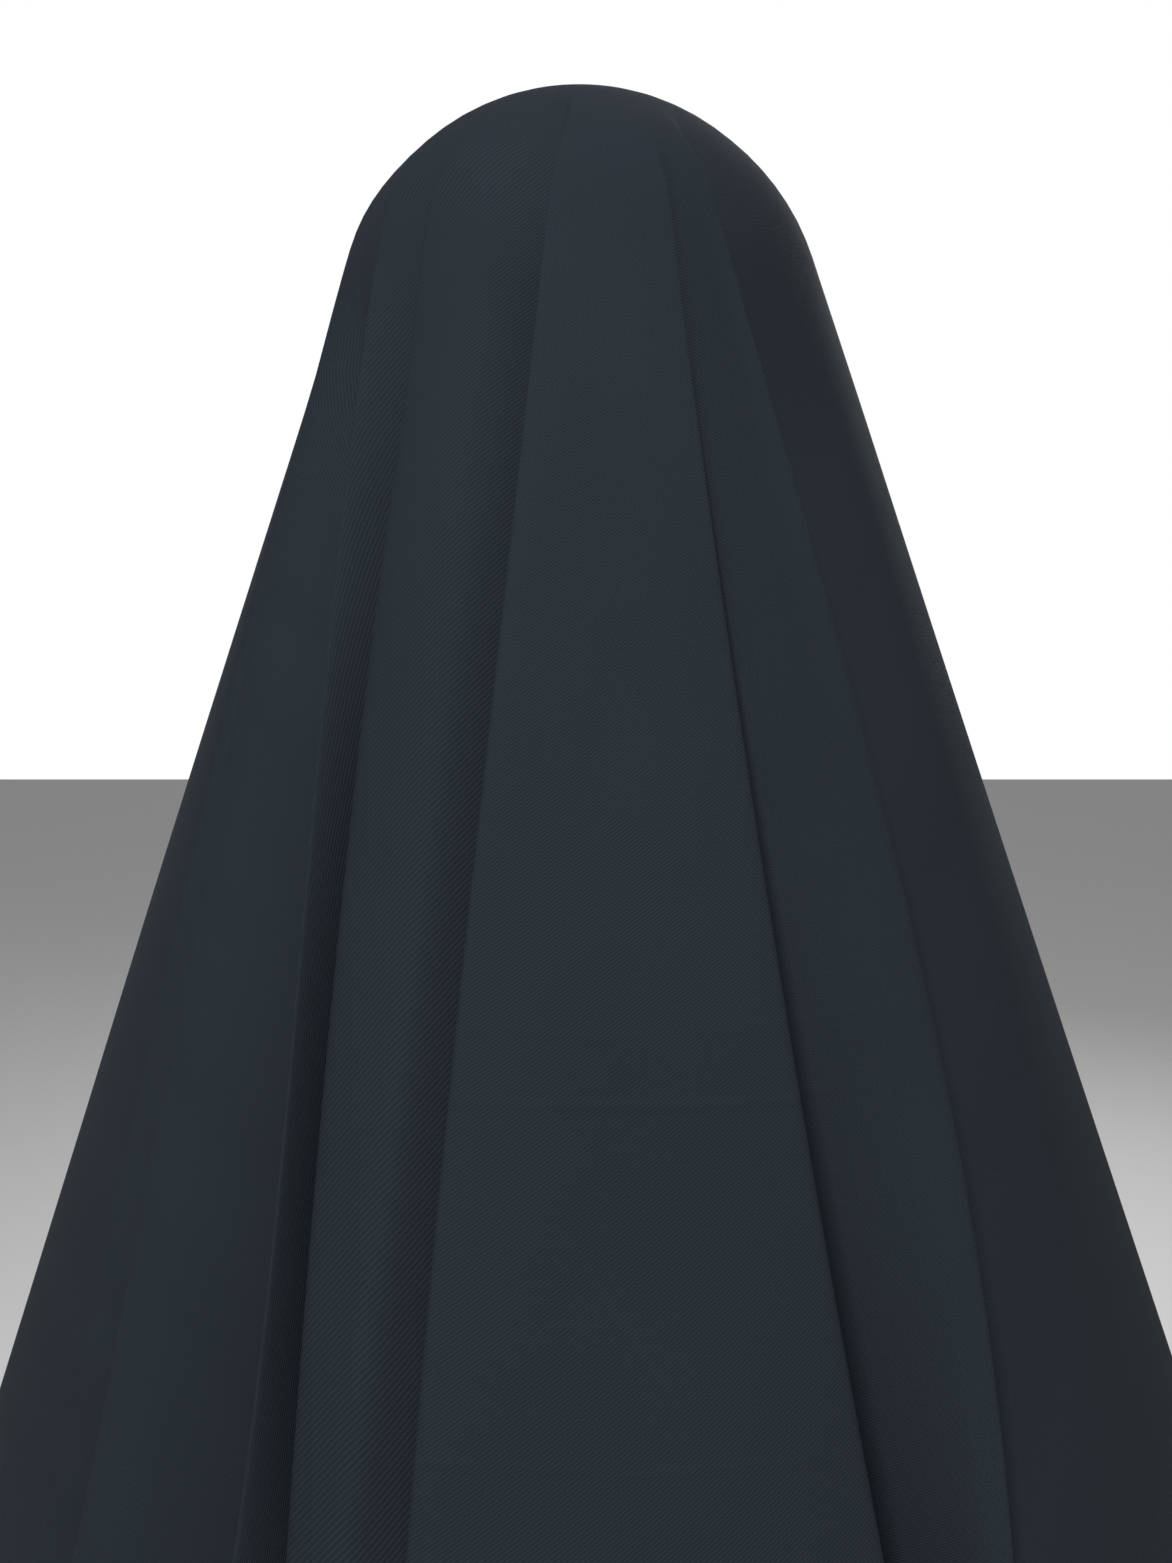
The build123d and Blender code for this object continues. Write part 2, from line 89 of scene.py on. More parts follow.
# ---- Lengths of cloth over which the drape changes, from and to ----
GATHER_ARCS = (0.028, 0.105)
ROUNDING_ARCS = (0.03, 0.06)
SETTLE_ARCS = (0.06, 0.16)
SLANT_ARCS = (0.08, 0.14)
VALLEY_ARCS = (0.14, 0.9)
WEAVE_ARCS = (0.05, 0.12)

# ---- How finely the cloth is worked out and meshed ----
LEVEL_STEP = 0.004
LEVEL_COUNT = 250
RING_SAMPLES = 2880
COLUMN_COUNT = 740
CROWN_ROWS = 22
SKIRT_ROWS = 40
CROWN_ARC = 0.13
COLUMN_SPACING = 0.012
COLUMN_TURN = math.radians(8)
FRONT_ROW = 6
POLE_HOLE = 0.006
HEM_STEPS = (0.05, 0.5, 0.93, 1.0)
SPREAD_ARC = 0.42
FRONT_ANCHOR = 5
BACK_ANCHOR = 180
NORMAL_REACH = 0.0015

# ---- Twill ----
WEAVE_MAP = "flat_cloth"
WALE_ANGLE = math.radians(37)
WALE_PITCH = 0.00085
# Each storage crease: its distance from the pole, and how strongly it shows.
CREASES = ((0.331, 0.35), (0.349, 1.0), (0.432, 0.6))
CREASE_HALF_WIDTH = 0.0022
CREASE_WANDER = 0.010

# ---- Driving sizes of the trims ----
# The neckband lies in the plane of the back panel: right, up the slope and outward are its directions.
BACK_RIGHT = np.array([-1.0, 0.0, 0.0])
BACK_UP = np.array([0.0, -math.sin(FLARE), math.cos(FLARE)])
BACK_OUT = np.array([0.0, math.cos(FLARE), math.sin(FLARE)])
BAND_INNER = NOTCH_HALF_WIDTH
BAND_WIDTH = 0.034
BAND_HALF_THICKNESS = 0.0012
BAND_RADIUS = BAND_INNER + BAND_WIDTH / 2
BAND_STITCH_ROW = 0.80
TAB_LENGTH = 0.075
BAND_TOP = np.array([0.0, (band_low[1] + band_high[1]) / 2, (band_low[2] + band_high[2]) / 2])
BAND_MIDDLE = BAND_TOP + BACK_UP * (TAB_LENGTH - ARC_CENTRE - BAND_INNER - BAND_WIDTH) / 2
LOOP_HALF_WIDTH = 0.0029
LOOP_HALF_THICKNESS = 0.0004
LABEL_HALF_WIDTH = 0.014
LABEL_HALF_HEIGHT = 0.008
LABEL_HALF_THICKNESS = 0.0002
LABEL_LIFT = 0.0006
LABEL_SEAM_RISE = 0.0068
LABEL_SEAM_HALF_WIDTH = 0.0128
THREAD_RADIUS = 0.00022
STITCH_SHARE = 0.34
HEM_STITCH_PITCH = 0.0040
HEM_STITCH_INSET = HEM_WIDTH - 0.0015
BAND_STITCH_PITCH = 0.0034
LABEL_STITCH_PITCH = 0.0028
EDGE_SAMPLES = 5600

# ---- Driving sizes of the block head's canvas ----
HEAD_CANVAS_THICKNESS = 0.0009
HEAD_TAPER = HEAD_RADIUS - 0.060
HEAD_WAIST = 0.006
HEAD_GORES = 6
HEAD_COLUMNS = 240
SEAM_RAISE = 0.00035
TURNED_HEM_RAISE = 0.0004
TURNED_HEM_TOP = 0.0105
SEAM_EDGES = (0.0025, 0.0040)

# ---- Camera and floor ----
CAMERA_DISTANCE = 0.518
CAMERA_PITCH = math.radians(-5)
CAMERA_BELOW_TOP = 0.181
CAMERA_RIGHT = 0.0022
SENSOR_WIDTH = 36
LENS = 34.549
FLOOR_HALF_SIDE = 9.0

# ---- Folds ----
# Azimuths are given at these lengths of cloth from the pole.
GUIDE_ARCS = (0.10, 0.28, 0.46)
VALLEY_HALF_ANGLE = 0.5

def fold(left, right, valley, heights, depth=(1, 1, 1), lead=None, trail=None, flank=(1, 1, 1)):
    """One fold, left to right: its lead flank, crest edges, trail flank, and the valley after it.

    Azimuths are degrees at GUIDE_ARCS. Heights and flank are shares of the crest radius. Depth is how far
    the valley goes in at GUIDE_ARCS, 1 being down to the head. A flank is where the cloth passes behind
    the next fold, so a valley may lie further round than the crest in front of it.
    """
    return {
        "left": left,
        "right": right,
        "valley": valley,
        "heights": heights,
        "depth": depth,
        "lead": lead,
        "trail": trail,
        "flank": flank,
    }


FOLDS = [
    # Far left
    fold((-104, -96, -94), (-78, -58, -47.5), (-60, -42, -33), (0.95, 0.975, 0.975),
         trail=(-71, -51.2, -41.2), flank=(0.84, 0.85, 0.88)),
    # Left broad
    fold((-72, -51.5, -41.5), (-60, -41, -32.5), (-47, -30, -23.5), (0.995, 0.97, 0.91),
         trail=(-49.6, -32.0, -25.0), flank=(0.80, 0.77, 0.79)),
    # Left thin
    fold((-50, -32.3, -25.3), (-46, -31.2, -24.3), (-28, -21, -15), (1.0, 0.985, 0.97),
         trail=(-36.2, -29.1, -22.9), flank=(0.84, 0.86, 0.90)),
    # Left panel
    fold((-36, -29, -22.8), (-19, -17.0, -17.0), (8, 3, 1), (0.95, 0.965, 0.98),
         trail=(-6.6, -10.7, -11.7), flank=(0.885, 0.90, 0.92)),
    # Front panel
    fold((-7, -11, -12), (18, 19.5, 22), (19, 21, 23.8), (1.01, 0.99, 1.00), (0, 0.20, 0.55)),
    # Right ridge
    fold((27, 35, 32.5), (31, 39, 34.5), (22, 28, 27), (0.975, 0.985, 0.995)),
    # Right panel
    fold((60, 63, 58), (84, 84, 82), (90, 93, 93), (0.965, 0.985, 1.012),
         lead=(34, 39.2, 34.8), flank=(0.74, 0.78, 0.90)),
    # Right shoulder
    fold((98, 101, 103), (110, 112, 113), (118, 120, 120), (1.02, 1.02, 1.00)),
    # Back right
    fold((126, 127, 127), (136, 137, 138), (143, 144, 145), (0.99, 1.00, 0.97)),
    # Back panel
    fold((154, 156, 158), (206, 204, 202), (208, 208, 208), (1.00, 0.985, 0.99)),
    # Back left
    fold((216, 216, 216), (226, 225, 224), (232, 231, 231), (0.98, 1.00, 0.98)),
    # Left shoulder
    fold((238, 238, 238), (247, 246, 246), (250, 255, 258), (0.99, 1.00, 0.97)),
]


def smooth_step(low, high, value):
    """0 below low, 1 above high, and an easy curve between."""
    t = np.clip((value - low) / (high - low), 0, 1)
    return t * t * (3 - 2 * t)


# ================= The drape =================


def guide(values, arc):
    """A value given at GUIDE_ARCS, at this arc: a parabola, held level well outside them."""
    low, middle, high = GUIDE_ARCS
    arc = np.clip(arc, low * 0.6, high + 0.10)
    a = values[0] * (arc - middle) * (arc - high) / ((low - middle) * (low - high))
    b = values[1] * (arc - low) * (arc - high) / ((middle - low) * (middle - high))
    c = values[2] * (arc - low) * (arc - middle) / ((high - low) * (high - middle))
    return a + b + c


def crest_radius(arc, azimuth):
    """Distance of a crest from the axis: round the head, then straight out, less puffed at the sides."""
    puff = 0.2 + 0.8 * np.cos(np.radians(azimuth)) ** 2
    lift = FOLD_LIFT * smooth_step(LIFT_START_ARC, LEAVE_ARC, arc) * puff
    on_head = (CLOTH_RADIUS + lift) * math.sin(min(arc, LEAVE_ARC) / CLOTH_RADIUS)
    return on_head + max(arc - LEAVE_ARC, 0) * math.sin(FLARE)


def valley_radius(arc):
    """Distance of the valleys from the axis: round the head's side, then almost straight down."""
    on_head = CLOTH_RADIUS * math.sin(min(arc / CLOTH_RADIUS, math.pi / 2))
    return on_head + VALLEY_SPREAD * float(smooth_step(*VALLEY_ARCS, arc))


def fold_outline(arc):
    """Corner points of the folded cloth at one arc, as azimuths in degrees and radii."""
    valley = valley_radius(arc)
    settle = smooth_step(*SETTLE_ARCS, arc)
    azimuths, radii = [], []
    before = guide(FOLDS[-1]["valley"], arc) - 360
    depth_before = guide(FOLDS[-1]["depth"], arc)
    for item in FOLDS:
        left, right, after = (guide(item[key], arc) for key in ("left", "right", "valley"))
        depth = float(np.clip(guide(item["depth"], arc), 0, 1))
        crest = crest_radius(arc, (left + right) / 2)
        heights = [crest * (1 + (height - 1) * settle) for height in item["heights"]]
        corners = [(before + VALLEY_HALF_ANGLE, crest + (valley - crest) * depth_before)]
        if item["lead"]:
            corners.append((guide(item["lead"], arc), max(crest * guide(item["flank"], arc), valley)))
        corners += zip((left, (left + right) / 2, right), heights)
        if item["trail"]:
            corners.append((guide(item["trail"], arc), max(crest * guide(item["flank"], arc), valley)))
        corners.append((after - VALLEY_HALF_ANGLE, crest + (valley - crest) * depth))
        azimuths += [azimuth for azimuth, radius in corners]
        radii += [radius for azimuth, radius in corners]
        before, depth_before = after, depth
    return np.array(azimuths), np.array(radii)


def outline_headings():
    """Heading on the flat sheet of each corner point, shared out by length between front and back."""
    azimuths, radii = fold_outline(SPREAD_ARC)
    x, y = radii * np.sin(np.radians(azimuths)), -radii * np.cos(np.radians(azimuths))
    lengths = np.hypot(np.diff(np.append(x, x[0])), np.diff(np.append(y, y[0])))
    places = np.concatenate([[0], np.cumsum(lengths)[:-1]])
    total = lengths.sum()
    front = places[np.argmin(np.abs(azimuths - FRONT_ANCHOR))]
    back = places[np.argmin(np.abs(azimuths - BACK_ANCHOR))]
    anchors = [BACK_ANCHOR - 360, FRONT_ANCHOR, BACK_ANCHOR, FRONT_ANCHOR + 360]
    return np.interp(places, [back - total, front, back, front + total], anchors)


def ring_smooth(ring, sigma):
    """Gaussian smoothing of a closed ring of samples, sigma in samples."""
    wave = np.fft.rfftfreq(len(ring))
    keep = np.exp(-2 * (math.pi * sigma * wave) ** 2)
    return np.fft.irfft(np.fft.rfft(ring, axis=0) * keep[:, None], n=len(ring), axis=0)


def drape_rings():
    """Rings of the draped cloth, one per level: an array of level, heading and x, y, z."""
    corner_headings = outline_headings()
    headings = corner_headings[0] + np.arange(RING_SAMPLES) * 360 / RING_SAMPLES
    closed_headings = np.append(corner_headings, corner_headings[0] + 360)
    rings = np.zeros((LEVEL_COUNT, RING_SAMPLES, 3))
    for level in range(LEVEL_COUNT):
        arc = (level + 1) * LEVEL_STEP
        azimuths, radii = fold_outline(arc)
        gather = float(smooth_step(*GATHER_ARCS, arc))
        azimuths = corner_headings + (azimuths - corner_headings) * gather
        azimuth = np.radians(np.interp(headings, closed_headings, np.append(azimuths, azimuths[0] + 360)))
        radius = np.interp(headings, closed_headings, np.append(radii, radii[0]))
        ring = np.stack([radius * np.sin(azimuth), -radius * np.cos(azimuth)], axis=1)
        rounding = (FOLD_ROUNDING + ROUNDING_GROWTH * arc) * smooth_step(*ROUNDING_ARCS, arc)
        rings[level, :, :2] = ring_smooth(ring, rounding / arc / (2 * math.pi) * RING_SAMPLES)
    before = np.zeros((RING_SAMPLES, 2))
    height = np.full(RING_SAMPLES, HEAD_CENTRE + CLOTH_RADIUS)
    for level in range(LEVEL_COUNT):
        across = rings[level, :, :2]
        moved = np.sum((across - before) ** 2, axis=1)
        outward = (np.hypot(*across.T) - np.hypot(*before.T)) ** 2
        slanted = outward + (moved - outward) * smooth_step(*SLANT_ARCS, (level + 1) * LEVEL_STEP)
        height = height - np.sqrt(np.maximum(LEVEL_STEP**2 - slanted, (LEAST_DROP * LEVEL_STEP) ** 2))
        rings[level, :, 2] = height
        before = across
    return headings, clear_of_head(rings)


def clear_of_head(rings):
    """Push points that dip into the block head back out to the cloth's resting radius."""
    centre = np.array([0, 0, HEAD_CENTRE])
    out = rings - centre
    distance = np.linalg.norm(out, axis=-1, keepdims=True)
    on_dome = (out[..., 2:] > -0.02) & (distance < CLOTH_RADIUS)
    return np.where(on_dome, centre + out * CLOTH_RADIUS / np.maximum(distance, 1e-9), rings)


ring_headings, rings = drape_rings()


def cloth_point(arc, heading):
    """Points of the draped cloth's middle surface, for arrays of arcs and headings in degrees."""
    arc, heading = np.broadcast_arrays(arc, heading)
    column = ((heading - ring_headings[0]) % 360) / 360 * RING_SAMPLES
    low_column = np.floor(column).astype(int)
    column_share = (column - low_column)[..., None]
    level = np.clip(arc / LEVEL_STEP - 1, 0, LEVEL_COUNT - 1.001)
    low_level = np.floor(level).astype(int)
    level_share = (level - low_level)[..., None]
    next_column = (low_column + 1) % RING_SAMPLES
    low_column = low_column % RING_SAMPLES
    upper = rings[low_level, low_column] * (1 - column_share) + rings[low_level, next_column] * column_share
    low = low_level + 1
    lower = rings[low, low_column] * (1 - column_share) + rings[low, next_column] * column_share
    point = upper * (1 - level_share) + lower * level_share
    pole = np.array([0, 0, HEAD_CENTRE + CLOTH_RADIUS])
    near = np.clip(arc / LEVEL_STEP, 0, 1)[..., None]
    return pole + (point - pole) * near


def cloth_normal(arc, heading):
    """Outward unit normals of the draped cloth."""
    turn = np.degrees(NORMAL_REACH / np.maximum(arc, LEVEL_STEP))
    across = cloth_point(arc, heading + turn) - cloth_point(arc, heading - turn)
    below = cloth_point(arc + NORMAL_REACH, heading)
    down = below - cloth_point(np.maximum(arc - NORMAL_REACH, 0), heading)
    normal = np.cross(down, across)
    return normal / np.maximum(np.linalg.norm(normal, axis=-1, keepdims=True), 1e-12)


def edge_arc(heading):
    """Distance from the pole to the sheet's edge along each heading, neck notch included."""
    a = np.radians(heading)
    side, end = np.abs(np.sin(a)), np.abs(np.cos(a))
    straight = np.minimum(SHEET_HALF_WIDTH / np.maximum(side, 1e-9), SHEET_HALF_LENGTH / np.maximum(end, 1e-9))
    cx, cy = SHEET_HALF_WIDTH - CORNER_RADIUS, SHEET_HALF_LENGTH - CORNER_RADIUS
    along = cx * side + cy * end
    inside = along**2 - cx**2 - cy**2 + CORNER_RADIUS**2
    rounded = along + np.sqrt(np.maximum(inside, 0))
    in_corner = (straight * side > cx) & (straight * end > cy) & (inside > 0)
    arc = np.where(in_corner, np.minimum(straight, rounded), straight)
    centre = SHEET_HALF_LENGTH - ARC_CENTRE
    off_back = np.radians(heading % 360 - 180) * back_stretch
    reach = NOTCH_HALF_WIDTH**2 - (centre * np.sin(off_back)) ** 2
    in_notch = (reach > 0) & (np.cos(off_back) > 0)
    return np.where(in_notch, centre * np.cos(off_back) - np.sqrt(np.maximum(reach, 0)), arc)


def stretch_at_back():
    """How much wider than its flat width the cloth lies across the back, near the neck notch."""
    arc = SHEET_HALF_LENGTH - NOTCH_DEPTH
    across = cloth_point(np.array([arc, arc]), np.array([178.0, 182.0]))
    return float(np.linalg.norm(across[1] - across[0]) / (arc * math.radians(4)))


back_stretch = stretch_at_back()


def column_headings():
    """Headings of the mesh columns: close together where the cloth turns sharply."""
    ring = rings[int(SPREAD_ARC / LEVEL_STEP), :, :2]
    step = np.roll(ring, -1, axis=0) - ring
    direction = np.unwrap(np.arctan2(step[:, 1], step[:, 0]))
    turning = np.abs(np.diff(np.append(direction, direction[0] + 2 * math.pi)))
    weight = np.hypot(*step.T) / COLUMN_SPACING + turning / COLUMN_TURN + 0.02
    weight = ring_smooth(weight[:, None], 4)[:, 0]
    total = np.concatenate([[0], np.cumsum(weight)])
    picks = np.linspace(0, total[-1], COLUMN_COUNT, endpoint=False)
    return np.interp(picks, total, ring_headings[0] + np.arange(RING_SAMPLES + 1) * 360 / RING_SAMPLES)


def new_mesh(name, points, faces, smooth=True):
    """A mesh object from point and face lists."""
    mesh = bpy.data.meshes.new(name)
    mesh.from_pydata([tuple(p) for p in points], [], [tuple(int(i) for i in f) for f in faces])
    mesh.validate()
    mesh.polygons.foreach_set("use_smooth", [smooth] * len(mesh.polygons))
    item = bpy.data.objects.new(name, mesh)
    bpy.context.collection.objects.link(item)
    return item


def set_weave_uv(mesh, flat):
    """Store each point's place in the weave, in metres, as the UV map."""
    layer = mesh.uv_layers.new(name=WEAVE_MAP)
    corners = np.zeros(len(mesh.loops), dtype=int)
    mesh.loops.foreach_get("vertex_index", corners)
    layer.data.foreach_set("uv", np.asarray(flat)[corners].astype(np.float32).ravel())


def weave_places(middle, arc):
    """Where each point lies in the weave: true distance round the cloth from the front middle, and arc."""
    around = np.linalg.norm(np.diff(middle, axis=1, append=middle[:, :1]), axis=-1)
    distance = np.concatenate([np.zeros((len(arc), 1)), np.cumsum(around, axis=1)[:, :-1]], axis=1)
    front = np.argmax(-middle[FRONT_ROW, :, 1])
    return np.stack([distance - distance[:, front:front + 1], -arc], axis=-1)


def make_cloth():
    """The whole cape panel: one closed sheet with its thickness, thicker along the turned hem."""
    heading = column_headings()
    edge = edge_arc(heading)
    crown = np.linspace(POLE_HOLE, CROWN_ARC, CROWN_ROWS)[:, None] * np.ones_like(edge)
    share = np.linspace(0, 1, SKIRT_ROWS + 1)[1:, None]
    skirt = CROWN_ARC + share * (edge - HEM_WIDTH - CROWN_ARC)
    hem_steps = np.array(HEM_STEPS)[:, None]
    hem = edge - HEM_WIDTH * (1 - hem_steps)
    arc = np.concatenate([crown, skirt, hem])
    thick = np.full(arc.shape, CLOTH_THICKNESS)
    thick[-len(HEM_STEPS):] = HEM_THICKNESS
    thick[-1] = HEM_THICKNESS * 0.5
    middle = cloth_point(arc, heading)
    normal = cloth_normal(arc, heading)
    rows, columns = arc.shape
    outer = middle + normal * thick[..., None] / 2
    inner = middle - normal * thick[..., None] / 2
    pole_up = np.array([0, 0, HEAD_CENTRE + CLOTH_RADIUS + CLOTH_THICKNESS / 2])
    pole_down = pole_up - [0, 0, CLOTH_THICKNESS]
    points = np.concatenate([outer.reshape(-1, 3), inner.reshape(-1, 3), [pole_up, pole_down]])
    a = np.radians(heading)
    flat = np.stack([arc * np.sin(a), -arc * np.cos(a)], axis=-1)
    weave = flat + (weave_places(middle, arc) - flat) * smooth_step(*WEAVE_ARCS, arc)[..., None]
    weave = weave.reshape(-1, 2)
    weave = np.concatenate([weave, weave, [[0, 0], [0, 0]]])
    index = np.arange(rows * columns).reshape(rows, columns)
    after = np.roll(index, -1, axis=1)
    inner_start = rows * columns
    quads = np.stack([index[:-1], index[1:], after[1:], after[:-1]], axis=-1).reshape(-1, 4)
    inner_quads = quads[:, ::-1] + inner_start
    rim = np.stack([index[-1], index[-1] + inner_start, after[-1] + inner_start, after[-1]], axis=-1)
    pole = 2 * inner_start
    caps = [(pole, i, j) for i, j in zip(index[0], after[0])]
    caps += [(pole + 1, j + inner_start, i + inner_start) for i, j in zip(index[0], after[0])]
    cloth = new_mesh("cape_cloth", points, list(quads) + list(inner_quads) + list(rim) + caps)
    set_weave_uv(cloth.data, weave)
    return cloth


# ================= Materials =================


def new_material(name):
    """A node material with its shader, and its node tree."""
    material = bpy.data.materials.new(name)
    material.use_nodes = True
    return material, material.node_tree, material.node_tree.nodes["Principled BSDF"]


def add_node(tree, kind, **values):
    """A node with its settings and unlinked inputs set by name."""
    node = tree.nodes.new(kind)
    for key, value in values.items():
        if hasattr(node, key):
            setattr(node, key, value)
        else:
            node.inputs[key.replace("_", " ")].default_value = value
    return node


def calculate(tree, operation, first, second=None, third=None):
    """A math node; each term is a socket or a number."""
    node = tree.nodes.new("ShaderNodeMath")
    node.operation = operation
    for slot, term in enumerate((first, second, third)):
        if term is None:
            continue
        if isinstance(term, (int, float)):
            node.inputs[slot].default_value = term
        else:
            tree.links.new(term, node.inputs[slot])
    return node.outputs[0]


def blend_colours(tree, share, first, second):
    """Mix two colours, each a socket or an RGBA tuple."""
    node = tree.nodes.new("ShaderNodeMix")
    node.data_type = "RGBA"
    for socket, term in ((node.inputs[0], share), (node.inputs[6], first), (node.inputs[7], second)):
        if isinstance(term, bpy.types.NodeSocket):
            tree.links.new(term, socket)
        else:
            socket.default_value = term
    return node.outputs[2]


def storage_creases(tree, x, y):
    """Soft ridges where the cape was folded away, across the front panel only."""
    ridges = []
    for place, strength in CREASES:
        wobble = add_node(tree, "ShaderNodeTexNoise", Scale=9.0, Detail=2.0)
        tree.links.new(calculate(tree, "ADD", x, 40 * place), wobble.inputs["Vector"])
        level = calculate(tree, "MULTIPLY_ADD", wobble.outputs[0], CREASE_WANDER, y)
        off = calculate(tree, "ABSOLUTE", calculate(tree, "ADD", level, place))
        ridge = add_node(tree, "ShaderNodeMapRange", interpolation_type="SMOOTHSTEP")
        tree.links.new(off, ridge.inputs["Value"])
        ridge.inputs["From Max"].default_value = CREASE_HALF_WIDTH
        ridge.inputs["To Min"].default_value = strength
        ridge.inputs["To Max"].default_value = 0.0
        ridges.append(ridge.outputs[0])
    together = calculate(tree, "MAXIMUM", calculate(tree, "MAXIMUM", ridges[0], ridges[1]), ridges[2])
    middle = add_node(tree, "ShaderNodeMapRange", interpolation_type="SMOOTHSTEP")
    tree.links.new(calculate(tree, "ABSOLUTE", calculate(tree, "SUBTRACT", x, 0.02)), middle.inputs["Value"])
    middle.inputs["From Min"].default_value = 0.07
    middle.inputs["From Max"].default_value = 0.13
    middle.inputs["To Min"].default_value = 1.0
    middle.inputs["To Max"].default_value = 0.0
    return calculate(tree, "MULTIPLY", together, middle.outputs[0])


def lint(tree, uv):
    """A few pale specks of lint, about one in a hand's width."""
    cells = add_node(tree, "ShaderNodeTexVoronoi", Scale=9.0)
    tree.links.new(uv, cells.inputs["Vector"])
    pick = tree.nodes.new("ShaderNodeSeparateColor")
    tree.links.new(cells.outputs["Color"], pick.inputs[0])
    chosen = calculate(tree, "GREATER_THAN", pick.outputs[0], 0.72)
    return calculate(tree, "MULTIPLY", calculate(tree, "LESS_THAN", cells.outputs["Distance"], 0.0055), chosen)


def twill_material(name, dark, light, pitch=WALE_PITCH, worn=False):
    """Fine wool-look twill: diagonal wales of short yarn floats, matte with a soft sheen."""
    material, tree, shader = new_material(name)
    uv = tree.nodes.new("ShaderNodeUVMap")
    uv.uv_map = WEAVE_MAP
    split = tree.nodes.new("ShaderNodeSeparateXYZ")
    tree.links.new(uv.outputs[0], split.inputs[0])
    x, y = split.outputs[0], split.outputs[1]
    up = calculate(tree, "MULTIPLY", y, math.cos(WALE_ANGLE))
    across = calculate(tree, "MULTIPLY_ADD", x, -math.sin(WALE_ANGLE), up)
    turns = calculate(tree, "MULTIPLY", across, 2 * math.pi / pitch)
    wale = calculate(tree, "MULTIPLY_ADD", calculate(tree, "SINE", turns), 0.5, 0.5)
    picks = calculate(tree, "MULTIPLY", y, 2 * math.pi / (pitch * 0.62))
    yarn = calculate(tree, "MULTIPLY_ADD", calculate(tree, "SINE", picks), 0.5, 0.5)
    fuzz = add_node(tree, "ShaderNodeTexNoise", Scale=2600.0, Detail=3.0, Roughness=0.6)
    tree.links.new(uv.outputs[0], fuzz.inputs["Vector"])
    cloud = add_node(tree, "ShaderNodeTexNoise", Scale=14.0, Detail=5.0, Roughness=0.6)
    tree.links.new(uv.outputs[0], cloud.inputs["Vector"])
    height = calculate(tree, "MULTIPLY_ADD", yarn, 0.25, calculate(tree, "MULTIPLY", wale, 0.55))
    height = calculate(tree, "MULTIPLY_ADD", fuzz.outputs[0], 0.45, height)
    shade = calculate(tree, "MULTIPLY_ADD", wale, 0.45, calculate(tree, "MULTIPLY", fuzz.outputs[0], 0.75))
    shade = calculate(tree, "MULTIPLY_ADD", cloud.outputs[0], 0.25, calculate(tree, "SUBTRACT", shade, 0.25))
    colour = blend_colours(tree, shade, dark, light)
    if worn:
        height = calculate(tree, "MULTIPLY_ADD", storage_creases(tree, x, y), 1.6, height)
        colour = blend_colours(tree, lint(tree, uv.outputs[0]), colour, (0.18, 0.19, 0.20, 1))
    tree.links.new(colour, shader.inputs["Base Color"])
    rough = calculate(tree, "MULTIPLY_ADD", fuzz.outputs[0], -0.15, 0.93)
    tree.links.new(rough, shader.inputs["Roughness"])
    bump = add_node(tree, "ShaderNodeBump", Strength=0.5, Distance=0.00025)
    tree.links.new(height, bump.inputs["Height"])
    tree.links.new(bump.outputs[0], shader.inputs["Normal"])
    shader.inputs["Specular IOR Level"].default_value = 0.06
    shader.inputs["Sheen Weight"].default_value = 0.015
    shader.inputs["Sheen Roughness"].default_value = 0.45
    shader.inputs["Sheen Tint"].default_value = (0.62, 0.72, 0.90, 1)
    return material


def plain_material(name, colour, roughness, metallic=0.0, grain=300.0, bump_depth=0.0001, spread=0.15):
    """Paint, plastic, metal or rubber with a fine grain in colour, roughness and bump."""
    material, tree, shader = new_material(name)
    coordinates = tree.nodes.new("ShaderNodeTexCoord")
    noise = add_node(tree, "ShaderNodeTexNoise", Scale=grain, Detail=4.0)
    tree.links.new(coordinates.outputs["Object"], noise.inputs["Vector"])
    darker = tuple(c * (1 - spread) for c in colour) + (1,)
    lighter = tuple(min(c * (1 + spread), 1) for c in colour) + (1,)
    tree.links.new(blend_colours(tree, noise.outputs[0], darker, lighter), shader.inputs["Base Color"])
    rough = calculate(tree, "MULTIPLY_ADD", noise.outputs[0], 0.12, roughness - 0.06)
    tree.links.new(rough, shader.inputs["Roughness"])
    bump = add_node(tree, "ShaderNodeBump", Strength=0.3, Distance=bump_depth)
    tree.links.new(noise.outputs[0], bump.inputs["Height"])
    tree.links.new(bump.outputs[0], shader.inputs["Normal"])
    shader.inputs["Metallic"].default_value = metallic
    return material


cape_twill = twill_material("cape_twill", (0.0072, 0.0100, 0.0130, 1), (0.0180, 0.0238, 0.0302, 1), worn=True)
cape_band_twill = twill_material("band_twill", (0.0075, 0.0103, 0.0133, 1), (0.0185, 0.0244, 0.0308, 1))
thread = plain_material("sewing_thread", (0.012, 0.016, 0.022), 0.7, grain=4000.0, bump_depth=0.00005)
label_satin = twill_material("label_satin", (0.42, 0.42, 0.41, 1), (0.62, 0.62, 0.60, 1), pitch=0.0004)
ribbon = twill_material("loop_ribbon", (0.006, 0.008, 0.011, 1), (0.020, 0.025, 0.032, 1), pitch=0.0009)
snap_steel = plain_material(
    "snap_steel", (0.42, 0.42, 0.43), 0.32, metallic=1.0, grain=1500.0, bump_depth=0.00002
)
powder_coat = plain_material("powder_coat", (0.022, 0.022, 0.024), 0.52, grain=1400.0, bump_depth=0.00018)
rubber = plain_material("rubber", (0.018, 0.018, 0.018), 0.86, grain=700.0, bump_depth=0.00015)
moulded = plain_material("moulded_plastic", (0.030, 0.030, 0.032), 0.45, grain=2200.0, bump_depth=0.00008)
nylon = plain_material("white_nylon", (0.68, 0.67, 0.63), 0.48, grain=500.0, bump_depth=0.00005, spread=0.05)
